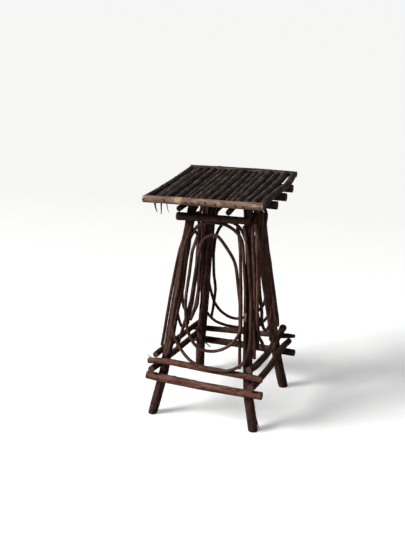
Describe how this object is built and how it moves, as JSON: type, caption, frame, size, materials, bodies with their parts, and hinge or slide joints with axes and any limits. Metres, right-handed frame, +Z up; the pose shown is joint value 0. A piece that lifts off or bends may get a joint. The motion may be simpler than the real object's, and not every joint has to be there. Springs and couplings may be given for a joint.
{
  "type": "rustic twig table",
  "caption": "Tall square rustic side table of round hickory sticks with the bark on, splayed legs, crossed rails and bent twig arches and loops on each side.",
  "frame": {"origin": "middle of the outline in plan, on the floor the legs stand on", "axes": "+Z up, the front (with the pale edge strip) toward -Y, +X to the right as seen from the front"},
  "size_m": [0.3548, 0.3881, 0.6553],
  "materials": {
    "dark_bark": "rough hickory bark, dark grey-brown",
    "warm_bark": "rough hickory bark, reddish brown",
    "edge_bark": "smooth pale grey-brown bark",
    "twig_bark": "smooth twig bark, grey-brown",
    "nail_steel": "dark rusted iron"
  },
  "bodies": {
    "root": {"back_bearer": "dark_bark", "back_edge_strip": "edge_bark", "back_inner_arch": "twig_bark", "back_inner_loop": "twig_bark", "back_left_leg": "dark_bark", "back_lower_rail": "dark_bark", "back_outer_arch": "twig_bark", "back_outer_loop": "twig_bark", "back_right_leg": "dark_bark", "back_top_rail": "dark_bark", "back_upper_rail": "dark_bark", "bearer_nails": "nail_steel", "edge_strip_nails": "nail_steel", "front_bearer": "dark_bark", "front_edge_strip": "edge_bark", "front_inner_arch": "twig_bark", "front_inner_loop": "twig_bark", "front_left_leg": "dark_bark", "front_lower_rail": "warm_bark", "front_outer_arch": "twig_bark", "front_outer_loop": "twig_bark", "front_right_leg": "dark_bark", "front_top_rail": "dark_bark", "front_upper_rail": "warm_bark", "left_inner_arch": "twig_bark", "left_inner_loop": "twig_bark", "left_lower_rail": "dark_bark", "left_outer_arch": "twig_bark", "left_outer_loop": "twig_bark", "left_side_rail": "dark_bark", "left_upper_rail": "dark_bark", "middle_bearer": "dark_bark", "rail_nails": "nail_steel", "right_inner_arch": "twig_bark", "right_inner_loop": "twig_bark", "right_lower_rail": "warm_bark", "right_outer_arch": "twig_bark", "right_outer_loop": "twig_bark", "right_side_rail": "dark_bark", "right_upper_rail": "dark_bark", "slat_01": "dark_bark", "slat_02": "dark_bark", "slat_03": "dark_bark", "slat_04": "dark_bark", "slat_05": "dark_bark", "slat_06": "dark_bark", "slat_07": "dark_bark", "slat_08": "dark_bark", "slat_09": "dark_bark", "slat_10": "dark_bark", "slat_11": "dark_bark", "slat_12": "dark_bark", "slat_13": "dark_bark", "slat_14": "dark_bark", "slat_15": "dark_bark", "slat_16": "dark_bark", "slat_17": "dark_bark", "slat_nails": "nail_steel", "top_frame_nails": "nail_steel", "twig_nails": "nail_steel"}
  },
  "joints": []
}
